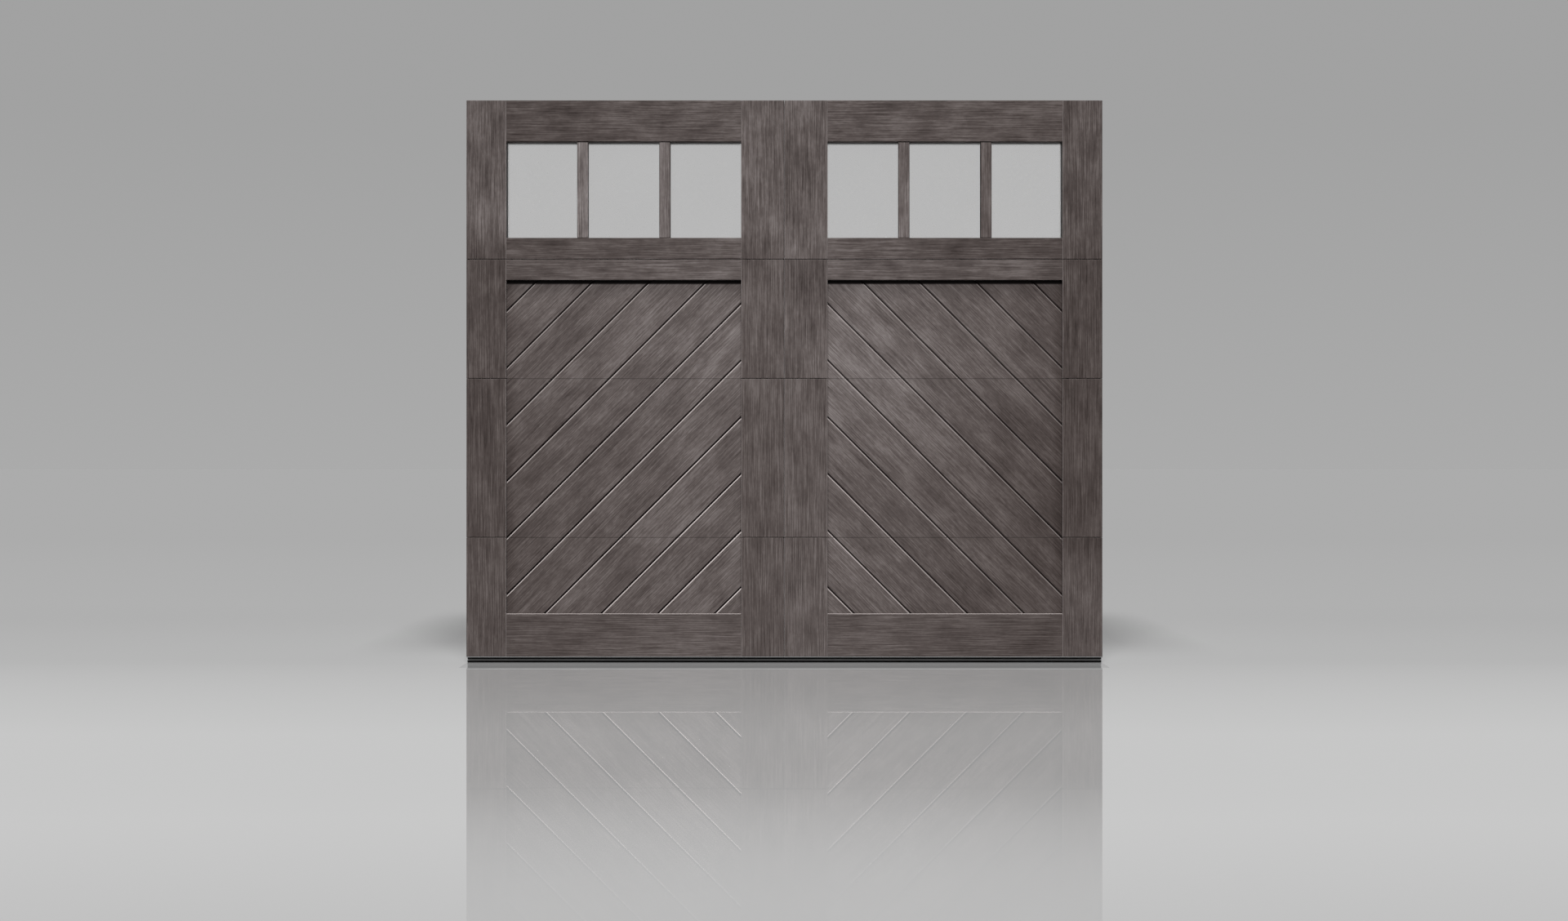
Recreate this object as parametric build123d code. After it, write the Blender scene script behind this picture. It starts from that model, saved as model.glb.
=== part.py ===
"""Sectional overhead garage door in carriage-house style, 8 ft wide and 7 ft high.

Four insulated steel sections stand on each other with tongue-and-groove seams. On the front, composite
boards make stiles and rails that stand proud, and grooved panels between them slope up to the middle.
The top section holds two windows of three lights each. Hinges and roller brackets are on the back, and
an aluminium retainer with a rubber seal is under the foot.

Frame: X across the door, -Y to the outside, +Z up, millimetres. The origin is on the floor, in the
middle of the seal's flat underside.
"""
import math
import os

from build123d import *

INCH = 25.4

# Door leaf: section heights are from seam line to seam line.
DOOR_WIDTH = 96 * INCH
BOTTOM_SECTION_HEIGHT = 18 * INCH
LOWER_SECTION_HEIGHT = 24 * INCH
UPPER_SECTION_HEIGHT = 18 * INCH
TOP_SECTION_HEIGHT = 24 * INCH
SEAM_GAP = 1.2

# Insulated steel sections and the steel caps on their ends
CORE_THICKNESS = 2 * INCH
TONGUE_WIDTH = 20.0
TONGUE_HEIGHT = 10.0
TONGUE_RADIUS = 5.0
TONGUE_CLEARANCE = 1.0
END_CAP_THICKNESS = 1.2
END_CAP_FOLD_RADIUS = 1.0

# Stiles and rails on the front
OVERLAY_THICKNESS = 1 * INCH
OUTER_STILE_WIDTH = 6 * INCH
CENTRE_STILE_WIDTH = 6.5 * INCH
CENTRE_JOINT_GAP = 1.0
TOP_RAIL_HEIGHT = 6.25 * INCH
SILL_RAIL_HEIGHT = 3.25 * INCH
MID_RAIL_HEIGHT = 3.125 * INCH
BOTTOM_RAIL_HEIGHT = 6.5 * INCH
EASED_EDGE = 1.5
BOARD_GAP = 0.5

# Grooved panels: FIRST_GROOVE runs along the bottom rail, from the centre stile to the first groove.
CLADDING_THICKNESS = 0.5 * INCH
PLANK_WIDTH = 154.0
PLANK_ANGLE = 45.0
GROOVE_WIDTH = 9.5
GROOVE_DEPTH = 4.5
FIRST_GROOVE = 100.0

# Windows
LIGHTS_PER_WINDOW = 3
MUNTIN_WIDTH = 43.0
MUNTIN_SETBACK = 3.0
MULLION_WIDTH = 30.0
FRAME_REVEAL = 1.0
FRAME_POCKET = 12.0
FRAME_CLEARANCE = 0.5
GLASS_THICKNESS = 0.5 * INCH
GLASS_EDGE_CLEARANCE = 3.0
INNER_TRIM_WIDTH = 30.0
INNER_TRIM_THICKNESS = 8.0
INNER_TRIM_RADIUS = 3.0

# Hinges and roller brackets
PLATE_THICKNESS = 2.0
HINGE_WIDTH = 70.0
HINGE_LEAF_HEIGHT = 76.0
PLATE_CORNER = 8.0
KNUCKLE_RADIUS = 6.5
KNUCKLE_GAP = 0.6
PIN_RADIUS = 4.0
PIN_CLEARANCE = 0.1
EAR_FOOT = 48.0
END_CAP_MARGIN = 5.0
ROLLER_BORE_RADIUS = 5.95
ROLLER_TUBE_WALL = 2.0
ROLLER_STANDOFF = 17.0
ROLLER_DROP = 21.0
FLANGE_MARGIN = 3.0
BRACKET_HEIGHT = 90.0
BRACKET_EAR_FOOT = 44.0
TOP_BRACKET_INSET = 12.0
TOP_ROLLER_DROP = 26.0
BOTTOM_BRACKET_INSET = 8.0
BOTTOM_ROLLER_RISE = 62.0
CABLE_PIN_RADIUS = 5.0
CABLE_PIN_LENGTH = 18.0
CABLE_PIN_RISE = 20.0
CABLE_PIN_HEAD_RADIUS = 9.0
CABLE_PIN_HEAD_THICKNESS = 3.0

# Bottom retainer and seal
RETAINER_PLATE = 3.0
RETAINER_SETBACK = 1.0
SLOT_HEIGHT = 3.0
SLOT_WIDTH = 9.0
SLOT_LIP = 1.5
SLOT_MOUTH = 4.0
SLOT_SPACING = 24.0
BEAD_CLEARANCE = 0.3
SEAL_WIDTH = 46.0
SEAL_HEIGHT = 16.5
SEAL_WALL = 3.0

# Depths from the outside to the inside
CORE_FRONT = -CORE_THICKNESS / 2
CORE_BACK = CORE_THICKNESS / 2
CAP_BACK = CORE_BACK + END_CAP_THICKNESS
OVERLAY_FRONT = CORE_FRONT - OVERLAY_THICKNESS
CLADDING_FRONT = CORE_FRONT - CLADDING_THICKNESS
GLASS_FRONT = -GLASS_THICKNESS / 2
GLASS_BACK = GLASS_THICKNESS / 2

# Heights from the floor to the top of the door
LEAF_BOTTOM = SEAL_HEIGHT + SLOT_LIP + SLOT_HEIGHT + RETAINER_PLATE
LOWER_SEAM = LEAF_BOTTOM + BOTTOM_SECTION_HEIGHT
MIDDLE_SEAM = LOWER_SEAM + LOWER_SECTION_HEIGHT
UPPER_SEAM = MIDDLE_SEAM + UPPER_SECTION_HEIGHT
LEAF_TOP = UPPER_SEAM + TOP_SECTION_HEIGHT
SEAMS = (LOWER_SEAM, MIDDLE_SEAM, UPPER_SEAM)

# Each section's lower and upper end, clear of its seams
HALF_SEAM = SEAM_GAP / 2
SECTIONS = {
    "bottom": (LEAF_BOTTOM, LOWER_SEAM - HALF_SEAM),
    "lower": (LOWER_SEAM + HALF_SEAM, MIDDLE_SEAM - HALF_SEAM),
    "upper": (MIDDLE_SEAM + HALF_SEAM, UPPER_SEAM - HALF_SEAM),
    "top": (UPPER_SEAM + HALF_SEAM, LEAF_TOP),
}

# The field between an outer and a centre stile, on the right half of the door
FIELD_INNER = CENTRE_STILE_WIDTH
FIELD_OUTER = DOOR_WIDTH / 2 - OUTER_STILE_WIDTH
WINDOW_SILL = UPPER_SEAM + SILL_RAIL_HEIGHT
WINDOW_HEAD = LEAF_TOP - TOP_RAIL_HEIGHT
CORE_HALF_WIDTH = DOOR_WIDTH / 2 - END_CAP_THICKNESS
END_CAP_LEAF = HINGE_WIDTH + 2 * END_CAP_MARGIN
END_HINGE_X = DOOR_WIDTH / 2 - END_CAP_LEAF / 2


def rectangle(x, z):
    """A rectangle between two limits in X and two in Z."""
    return Pos((x[0] + x[1]) / 2, (z[0] + z[1]) / 2) * Rectangle(x[1] - x[0], z[1] - z[0])


def slab(outline, y_front, y_back):
    """An outline drawn in X and Z, made solid between two depths."""
    return extrude(Plane.XZ.offset(-y_back) * outline, y_back - y_front)


def bar(profile, x):
    """A profile drawn in Y and Z, made solid between two limits in X."""
    return extrude(Plane.YZ.offset(x[0]) * profile, x[1] - x[0])


def rod(radius, x, y, z):
    """A round rod along X between two limits, centred on a depth and a height."""
    return bar(Pos(y, z) * Circle(radius), x)


def both_sides(solids):
    """The given solids of the right half, followed by their mirror images on the left."""
    return [*solids, *(mirror(solid, about=Plane.YZ) for solid in solids)]


def board(x, z, y_front):
    """A composite board on the face of the sections, with eased front edges."""
    plank = slab(rectangle(x, z), y_front, CORE_FRONT)
    return chamfer(plank.faces().sort_by(Axis.Y)[0].edges(), EASED_EDGE)


def section_core(name):
    """The insulated steel sandwich, with a tongue on top and a groove below where it meets another."""
    low, high = SECTIONS[name]
    profile = rectangle((CORE_FRONT, CORE_BACK), (low, high))
    if name != "top":
        tongue = rectangle((-TONGUE_WIDTH / 2, TONGUE_WIDTH / 2), (high, high + TONGUE_HEIGHT))
        profile += fillet(tongue.vertices().group_by(Axis.Y)[-1], TONGUE_RADIUS)
    if name != "bottom":
        half_groove = TONGUE_WIDTH / 2 + TONGUE_CLEARANCE
        groove_top = low - SEAM_GAP + TONGUE_HEIGHT + TONGUE_CLEARANCE
        groove = rectangle((-half_groove, half_groove), (low, groove_top))
        profile -= fillet(groove.vertices().group_by(Axis.Y)[-1], TONGUE_RADIUS + TONGUE_CLEARANCE)
    core = bar(profile, (-CORE_HALF_WIDTH, CORE_HALF_WIDTH))
    if name == "top":
        core -= both_sides([slab(window_outline(FRAME_POCKET), CORE_FRONT, CORE_BACK)])
    return core


def end_caps(name):
    """Folded steel caps that close the ends of a section and carry its end hinges."""
    low, high = SECTIONS[name]
    edge = DOOR_WIDTH / 2
    end_plate = rectangle((CORE_HALF_WIDTH, edge), (CORE_FRONT, CAP_BACK))
    back_leaf = rectangle((edge - END_CAP_LEAF, edge), (CORE_BACK, CAP_BACK))
    folded = end_plate + back_leaf
    fold = max(folded.vertices(), key=lambda vertex: vertex.X + vertex.Y)
    folded = fillet(fold, END_CAP_FOLD_RADIUS)
    return both_sides([extrude(Plane.XY.offset(low) * folded, high - low)])


def stiles(name):
    """The four upright boards of a section."""
    outer = (FIELD_OUTER, DOOR_WIDTH / 2)
    centre = (CENTRE_JOINT_GAP / 2, FIELD_INNER)
    return both_sides([board(x, SECTIONS[name], OVERLAY_FRONT) for x in (outer, centre)])


def rails(z):
    """A pair of level boards between the stiles."""
    return both_sides([board((FIELD_INNER + BOARD_GAP, FIELD_OUTER - BOARD_GAP), z, OVERLAY_FRONT)])


def chevron_panel(z):
    """The right half's grooved panel over one section: its planks run down from the centre stile."""
    x = (FIELD_INNER + BOARD_GAP, FIELD_OUTER - BOARD_GAP)
    panel = slab(rectangle(x, z), CLADDING_FRONT, CORE_FRONT)
    slope = math.tan(math.radians(PLANK_ANGLE))
    spacing = PLANK_WIDTH / math.cos(math.radians(PLANK_ANGLE))
    start = FIELD_INNER, LEAF_BOTTOM + BOTTOM_RAIL_HEIGHT + FIRST_GROOVE * slope
    reach = DOOR_WIDTH
    half = GROOVE_WIDTH / 2
    vee = make_face(
        Polyline(
            (CLADDING_FRONT, -half), (CLADDING_FRONT, half), (CLADDING_FRONT + GROOVE_DEPTH, 0), close=True
        )
    )
    groove = Rot(Y=PLANK_ANGLE) * bar(vee, (-reach, reach))
    lowest = z[0] - start[1]
    highest = z[1] - start[1] + (x[1] - x[0]) * slope
    first, last = math.floor(lowest / spacing), math.ceil(highest / spacing)
    return panel - [Pos(start[0], 0, start[1] + k * spacing) * groove for k in range(first, last + 1)]


def window_outline(margin):
    """The outline of the right window's opening, grown by a margin."""
    return rectangle(
        (FIELD_INNER - margin, FIELD_OUTER + margin), (WINDOW_SILL - margin, WINDOW_HEAD + margin)
    )


def muntin_centres():
    """The places across the right window of the bars between its lights."""
    light = (FIELD_OUTER - FIELD_INNER - (LIGHTS_PER_WINDOW - 1) * MUNTIN_WIDTH) / LIGHTS_PER_WINDOW
    return [FIELD_INNER + k * (light + MUNTIN_WIDTH) - MUNTIN_WIDTH / 2 for k in range(1, LIGHTS_PER_WINDOW)]


def muntins():
    """The overlay bars that divide the right window into lights."""
    height = (WINDOW_SILL + BOARD_GAP, WINDOW_HEAD - BOARD_GAP)
    half = MUNTIN_WIDTH / 2
    return [board((x - half, x + half), height, OVERLAY_FRONT + MUNTIN_SETBACK) for x in muntin_centres()]


def window_frame():
    """The right window's outer frame: a ring with mullions behind the muntins, in front of the glass."""
    ring = window_outline(FRAME_POCKET - FRAME_CLEARANCE) - window_outline(-FRAME_REVEAL)
    for x in muntin_centres():
        ring += rectangle((x - MULLION_WIDTH / 2, x + MULLION_WIDTH / 2), (WINDOW_SILL, WINDOW_HEAD))
    return slab(ring, CORE_FRONT, GLASS_FRONT)


def window_glass():
    """The right window's sealed double pane."""
    return slab(window_outline(FRAME_POCKET - GLASS_EDGE_CLEARANCE), GLASS_FRONT, GLASS_BACK)


def window_inner_frame():
    """The right window's inside frame: it clamps the glass and trims the cut-out on the back."""
    opening = window_outline(-FRAME_REVEAL)
    sleeve = slab(window_outline(FRAME_POCKET - FRAME_CLEARANCE) - opening, GLASS_BACK, CORE_BACK)
    trim_back = CORE_BACK + INNER_TRIM_THICKNESS
    trim = slab(window_outline(FRAME_POCKET + INNER_TRIM_WIDTH) - opening, CORE_BACK, trim_back)
    trim = fillet(trim.faces().sort_by(Axis.Y)[-1].edges(), INNER_TRIM_RADIUS)
    return sleeve + trim


def plate(z, y_back, corners):
    """A flat steel plate against the back of the door, its low, high or all corners clipped."""
    flat = rectangle((-HINGE_WIDTH / 2, HINGE_WIDTH / 2), z)
    rows = flat.vertices().group_by(Axis.Y)
    clipped = {"low": rows[0], "high": rows[-1], "all": flat.vertices()}[corners]
    return slab(chamfer(clipped, PLATE_CORNER), y_back, y_back + PLATE_THICKNESS)


def ears(circles, foot, y_back):
    """Two side flanges folded up from a plate, each wide enough to wrap the given circles."""
    edges = [Edge.make_line((y_back, foot[0]), (y_back, foot[1]))]
    for radius, y, z in circles:
        edges += (Pos(y, z) * Circle(radius)).edges()
    flange = make_hull(edges)
    half = HINGE_WIDTH / 2
    return bar(flange, (-half, PLATE_THICKNESS - half)) + bar(flange, (half - PLATE_THICKNESS, half))


def roller_carrier(base, circles, foot, y_back, z):
    """Adds to a plate the ears and the tube that hold a roller's stem."""
    tube_radius = ROLLER_BORE_RADIUS + ROLLER_TUBE_WALL
    axis_y = y_back + ROLLER_STANDOFF
    half = HINGE_WIDTH / 2
    carrier = base + ears([*circles, (tube_radius + FLANGE_MARGIN, axis_y, z)], foot, y_back)
    carrier += rod(tube_radius, (-half, half), axis_y, z)
    return carrier - rod(ROLLER_BORE_RADIUS, (-half, half), axis_y, z)


def lower_leaf(seam, y_back, with_roller):
    """The leaf of a hinge on the section below a seam: two ears with the pin riveted between them."""
    top = seam - KNUCKLE_RADIUS - KNUCKLE_GAP
    leaf = plate((seam - HINGE_LEAF_HEIGHT, top), y_back, "low")
    pivot = y_back + KNUCKLE_RADIUS
    wraps = [(KNUCKLE_RADIUS, pivot, seam)]
    foot = (seam - EAR_FOOT, top)
    if with_roller:
        leaf = roller_carrier(leaf, wraps, foot, y_back, seam - ROLLER_DROP)
    else:
        leaf += ears(wraps, foot, y_back)
    return leaf + rod(PIN_RADIUS, (-HINGE_WIDTH / 2, HINGE_WIDTH / 2), pivot, seam)


def upper_leaf(seam, y_back):
    """The leaf of a hinge on the section above a seam, curled round the pin."""
    bottom = seam + KNUCKLE_RADIUS + KNUCKLE_GAP
    leaf = plate((bottom, seam + HINGE_LEAF_HEIGHT), y_back, "high")
    pivot = y_back + KNUCKLE_RADIUS
    curl = Pos(pivot, seam) * Circle(KNUCKLE_RADIUS)
    curl += rectangle((y_back, y_back + PLATE_THICKNESS), (seam, bottom))
    curl -= Pos(pivot, seam) * Circle(PIN_RADIUS + PIN_CLEARANCE)
    half = HINGE_WIDTH / 2 - PLATE_THICKNESS - KNUCKLE_GAP
    return leaf + bar(curl, (-half, half))


def across(make_end, make_centre):
    """One piece at each end of a seam, on the end caps, and one in the middle, on the steel skin."""
    return [*both_sides([Pos(X=END_HINGE_X) * make_end(CAP_BACK)]), make_centre(CORE_BACK)]


def hinge_leaves(below, above):
    """All hinge leaves of one section: upper leaves at the seam below it, lower ones at the seam above."""
    leaves = []
    if below:
        leaves += across(lambda y: upper_leaf(below, y), lambda y: upper_leaf(below, y))
    if above:
        leaves += across(lambda y: lower_leaf(above, y, True), lambda y: lower_leaf(above, y, False))
    return leaves


def roller_bracket(z, roller_z):
    """A corner bracket: a flat plate with a roller carrier."""
    base = plate(z, CAP_BACK, "all")
    foot = (roller_z - BRACKET_EAR_FOOT / 2, roller_z + BRACKET_EAR_FOOT / 2)
    return roller_carrier(base, [], foot, CAP_BACK, roller_z)


def top_brackets():
    """Roller brackets at the top corners."""
    high = LEAF_TOP - TOP_BRACKET_INSET
    bracket = roller_bracket((high - BRACKET_HEIGHT, high), high - TOP_ROLLER_DROP)
    return both_sides([Pos(X=END_HINGE_X) * bracket])


def bottom_brackets():
    """Roller brackets at the bottom corners, each with a headed pin for the lift cable."""
    low = LEAF_BOTTOM + BOTTOM_BRACKET_INSET
    bracket = roller_bracket((low, low + BRACKET_HEIGHT), low + BOTTOM_ROLLER_RISE)
    plate_back = CAP_BACK + PLATE_THICKNESS
    head_front = plate_back + CABLE_PIN_LENGTH
    place = Pos(0, low + CABLE_PIN_RISE)
    bracket += slab(place * Circle(CABLE_PIN_RADIUS), plate_back, head_front)
    bracket += slab(place * Circle(CABLE_PIN_HEAD_RADIUS), head_front, head_front + CABLE_PIN_HEAD_THICKNESS)
    return both_sides([Pos(X=END_HINGE_X) * bracket])


def bottom_retainer():
    """The aluminium strip under the bottom section and its boards, with two slots that hold the seal."""
    plate_low = LEAF_BOTTOM - RETAINER_PLATE
    profile = rectangle((OVERLAY_FRONT + RETAINER_SETBACK, CORE_BACK), (plate_low, LEAF_BOTTOM))
    slot_low = plate_low - SLOT_HEIGHT
    for y in (-SLOT_SPACING / 2, SLOT_SPACING / 2):
        outer = SLOT_WIDTH / 2 + SLOT_LIP
        profile += rectangle((y - outer, y + outer), (slot_low - SLOT_LIP, plate_low))
        profile -= rectangle((y - SLOT_WIDTH / 2, y + SLOT_WIDTH / 2), (slot_low, plate_low))
        profile -= rectangle((y - SLOT_MOUTH / 2, y + SLOT_MOUTH / 2), (slot_low - SLOT_LIP, slot_low))
    return bar(profile, (-DOOR_WIDTH / 2, DOOR_WIDTH / 2))


def bottom_seal():
    """The hollow rubber seal: a flattened tube hung by two beads in the retainer's slots."""
    middle = Pos(0, SEAL_HEIGHT / 2)
    profile = middle * SlotOverall(SEAL_WIDTH, SEAL_HEIGHT)
    profile -= middle * SlotOverall(SEAL_WIDTH - 2 * SEAL_WALL, SEAL_HEIGHT - 2 * SEAL_WALL)
    slot_low = SEAL_HEIGHT + SLOT_LIP
    for y in (-SLOT_SPACING / 2, SLOT_SPACING / 2):
        neck = SLOT_MOUTH / 2 - BEAD_CLEARANCE
        bead = SLOT_WIDTH / 2 - BEAD_CLEARANCE
        profile += rectangle((y - neck, y + neck), (SEAL_HEIGHT - SEAL_WALL / 2, slot_low + SLOT_HEIGHT / 2))
        profile += rectangle((y - bead, y + bead), (slot_low, slot_low + SLOT_HEIGHT - BEAD_CLEARANCE))
    return bar(profile, (-DOOR_WIDTH / 2, DOOR_WIDTH / 2))


def save(node, solids):
    """Writes one node of one or more solids."""
    solids = solids if isinstance(solids, list) else [solids]
    shape = solids[0] if len(solids) == 1 else Compound(children=solids)
    export_step(shape, os.path.join("parts", node + ".step"))


def main():
    os.makedirs("parts", exist_ok=True)
    for name in SECTIONS:
        save(f"{name}_section_core", section_core(name))
        save(f"{name}_section_end_caps", end_caps(name))
        save(f"{name}_section_stiles", stiles(name))

    bottom, lower, upper, top = SECTIONS.values()
    rail_top, rail_bottom = upper[1] - MID_RAIL_HEIGHT, bottom[0] + BOTTOM_RAIL_HEIGHT
    save("top_rails", rails((WINDOW_HEAD, top[1])))
    save("sill_rails", rails((top[0], WINDOW_SILL)))
    save("mid_rails", rails((rail_top, upper[1])))
    save("bottom_rails", rails((bottom[0], rail_bottom)))

    panel_heights = {
        "upper": (upper[0], rail_top - BOARD_GAP),
        "lower": lower,
        "bottom": (rail_bottom + BOARD_GAP, bottom[1]),
    }
    for name, z in panel_heights.items():
        right, left = both_sides([chevron_panel(z)])
        save(f"{name}_right_chevron_panel", right)
        save(f"{name}_left_chevron_panel", left)

    window_pieces = {"frame": window_frame, "glass": window_glass, "inner_frame": window_inner_frame}
    for name, make in window_pieces.items():
        right, left = both_sides([make()])
        save(f"right_window_{name}", right)
        save(f"left_window_{name}", left)
    right_bars = muntins()
    save("right_window_muntins", right_bars)
    save("left_window_muntins", both_sides(right_bars)[len(right_bars):])

    save("bottom_section_hinge_leaves", hinge_leaves(None, LOWER_SEAM))
    save("lower_section_hinge_leaves", hinge_leaves(LOWER_SEAM, MIDDLE_SEAM))
    save("upper_section_hinge_leaves", hinge_leaves(MIDDLE_SEAM, UPPER_SEAM))
    save("top_section_hinge_leaves", hinge_leaves(UPPER_SEAM, None))
    save("top_roller_brackets", top_brackets())
    save("bottom_roller_brackets", bottom_brackets())
    save("bottom_retainer", bottom_retainer())
    save("bottom_seal", bottom_seal())


main()
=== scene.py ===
"""Looks of the sectional garage door: stained composite boards, frosted lights, steel back and hardware."""
import math

import bpy
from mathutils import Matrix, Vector


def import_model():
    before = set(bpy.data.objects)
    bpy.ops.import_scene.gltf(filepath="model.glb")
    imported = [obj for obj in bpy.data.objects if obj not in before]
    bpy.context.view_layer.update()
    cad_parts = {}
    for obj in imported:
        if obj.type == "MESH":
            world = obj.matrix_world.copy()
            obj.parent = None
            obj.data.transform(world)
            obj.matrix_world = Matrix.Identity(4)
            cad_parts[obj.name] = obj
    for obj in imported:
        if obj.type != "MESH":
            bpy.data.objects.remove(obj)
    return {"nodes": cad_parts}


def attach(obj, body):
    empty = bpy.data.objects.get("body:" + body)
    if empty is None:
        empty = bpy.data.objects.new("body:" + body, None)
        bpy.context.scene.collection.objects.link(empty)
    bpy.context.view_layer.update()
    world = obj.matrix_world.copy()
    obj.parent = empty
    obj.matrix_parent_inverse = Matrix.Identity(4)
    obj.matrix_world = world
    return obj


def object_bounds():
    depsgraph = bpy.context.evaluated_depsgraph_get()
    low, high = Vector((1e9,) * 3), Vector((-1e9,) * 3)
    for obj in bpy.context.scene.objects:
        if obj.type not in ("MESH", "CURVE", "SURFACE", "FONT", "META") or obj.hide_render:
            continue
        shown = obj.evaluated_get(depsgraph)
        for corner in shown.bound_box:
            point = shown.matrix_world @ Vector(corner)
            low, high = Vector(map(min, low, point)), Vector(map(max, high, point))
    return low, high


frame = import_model()
cad_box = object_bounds()
nodes = frame["nodes"]

# The door's layout, in metres
FRONT_FACE = cad_box[0].y
DOOR_EDGE = cad_box[1].x
DOOR_TOP = cad_box[1].z
SECTIONS = ("bottom", "lower", "upper", "top")
SECTION_FOOT = 0.024
SEAMS = (0.4812, 1.0908, 1.548)
LEVELS = (SECTION_FOOT, *SEAMS, DOOR_TOP)
FIELD_INNER = 0.1651
FIELD_OUTER = 1.0668
FIELD_MIDDLE = (FIELD_INNER + FIELD_OUTER) / 2
BOTTOM_RAIL_TOP = 0.1891
MID_RAIL_FOOT = 1.468
PLANK_WIDTH = 0.154
PLANK_ANGLE = math.radians(45.0)
FIRST_GROOVE = 0.1
WINDOW_SILL = 1.63055
WINDOW_HEAD = 1.99885
CORE_BACK = 0.0254
CAP_BACK = 0.0266

# Camera, measured from the door's front face
CAMERA_DISTANCE = 9.0
CAMERA_HEIGHT = 0.7765
CAMERA_SIDE = -0.0015
CAMERA_REACH = 500.0
VIEW_WIDTH = 6.012
SENSOR_WIDTH = 36.0

# Lights, with their angles in degrees
KEY_STRENGTH = 3.1
KEY_ELEVATION = 46.0
KEY_SPREAD = 26.0
REAR_STRENGTH = 1.2
REAR_ELEVATION = 12.0
REAR_SIDE = 35.0
REAR_SPREAD = 20.0
FILL_STRENGTH = 0.12

# Backdrop: its grey by height above the horizon, and how much brighter it is in gloss and through glass
BACKDROP_GREYS = ((0.0, 0.404), (0.14, 0.360))
BACKDROP_IN_GLOSS = 1.5
BACKDROP_IN_GLASS = 1.34

# Floor: its grey by depth, from before the door to behind it, its polish and its shades
FLOOR_REACH = 200.0
FLOOR_GREYS = (
    (-26.0, 0.49), (-6.0, 0.585), (-4.0, 0.715), (-2.4, 0.70), (-0.7, 0.548),
    (0.0, 0.485), (1.4, 0.506), (3.6, 0.520), (14.0, 0.496),
)
FLOOR_BOUNCE_LOSS = 0.7
FAR_POLISH = 0.09
NEAR_POLISH = 0.47
POLISH_RISE = (-5.3, -3.0)
POLISH_FALL = (-1.2, 3.0)
SHADE_MOST = 0.32
SHADE_OVERHANG = 0.58
SHADE_SLOPE = 0.86
SHADE_RISE = (0.0, 1.1)
SHADE_FALL = (2.3, 3.4)
FOOT_SHADE = 0.26
FOOT_SHADE_DEPTH = 0.22
FOOT_SHADE_SOFT = 0.02

# Stain colours, dark to light, as linear values
STAIN_DARK = (0.046, 0.0358, 0.0334)
STAIN_MID = (0.110, 0.0900, 0.0852)
STAIN_LIGHT = (0.212, 0.1830, 0.1760)
# Painted highlight for chamfers and groove lips; painted shade for grooves, down-facing chamfers and under
# the mid rail, also the dark of the middle joint
EDGE_HIGHLIGHT = (0.68, 0.61, 0.595)
SHADE_AND_JOINT_DARK = (0.004, 0.0026, 0.0024)
WOOD_ROUGHNESS = (0.68, 0.52)
WOOD_SPECULAR = 0.06

# Grain layers: length and width of a streak, noise detail, and weight on planks and on other boards
GRAIN = (
    (0.050, 0.0014, 1.0, 0.6, 0.6),
    (0.180, 0.0034, 1.0, 1.0, 1.35),
    (0.300, 0.0070, 2.0, 0.15, 0.3),
    (0.028, 0.0120, 2.0, 0.35, 0.25),
    (0.130, 0.0550, 3.0, 0.85, 0.6),
    (0.260, 0.2400, 2.0, 0.7, 0.4),
    (0.016, 0.0034, 1.0, 0.45, 0.3),
)
GRAIN_ROUGHNESS = 0.6
GRAIN_WAVE = 0.006
GRAIN_WAVE_SCALE = 5.0
RELIEF_WEIGHTS = (0.4, 0.6)
# Streaks wider than this are mottle, with its own contrast low and high on boards other than planks
MOTTLE_WIDTH = 0.005
MOTTLE_CONTRAST = (1.1, 1.75)
# How far the grain jumps from board to board, and how much their stain differs
BOARD_STEP = 3.7
BOARD_SHIFT = 9.0
BOARD_STAIN = 0.45
BOARD_VARIETY = 0.10
STILE_SEED = 11.0
RAIL_SEED = 21.0
PLANK_SEED = 31.0
BAR_SEED = 41.0

# Tones of the stiles from left to right, each from the bottom section to the top one: darker outer stiles
# and a lighter top are partly painted light falloff and partly the boards' own tone
STILE_TONES = (
    (0.87, 0.81, 0.80, 1.17), (1.00, 0.97, 1.01, 1.20),
    (1.17, 1.08, 1.20, 1.20), (0.98, 0.67, 0.76, 0.91),
)
# Heights between which a stile passes to the tone of the next section
STILE_RISES = ((0.28, 0.50), (1.00, 1.18), (1.54, 1.70))
# Tones of rails and bars in the middle of the door, and the shares of them at its left and right edge; a
# share that darkens an edge is partly painted light falloff
RAIL_TONES = {
    "bottom": (1.04, 0.80, 0.75), "mid": (1.24, 0.77, 0.78),
    "sill": (1.03, 0.80, 0.75), "top": (1.03, 0.80, 0.75),
}
MUNTIN_TONES = {"left": (1.40, 1.65, 1.0), "right": (1.57, 1.0, 0.47)}
# Tones of the planks low and high on the door, and the shares of them at its left and right edge: lighter
# high up and darker at the edges, partly painted light falloff and partly the boards' own tone
PLANK_TONES = {"left": (1.20, 1.43, 0.75, 0.56), "right": (1.22, 1.60, 0.75, 0.57)}
PLANK_RISE = (0.72, 1.12)
# Distances from the door's middle between which a tone passes to its share at the edge
TONE_FADE = (0.1, 1.2)
# A dark tone is a little warmer than a light one: the power of a tone in red, green and blue
TONE_POWERS = (1.0, 1.09, 1.13)
# Planks beside the stiles: how wide a painted shade darkens them, and what is left of their tone
OUTER_SHADE_WIDTH = 0.05
OUTER_SHADE_TONE = 0.74
INNER_SHADE_WIDTH = 0.006
INNER_SHADE_TONE = 0.7

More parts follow.
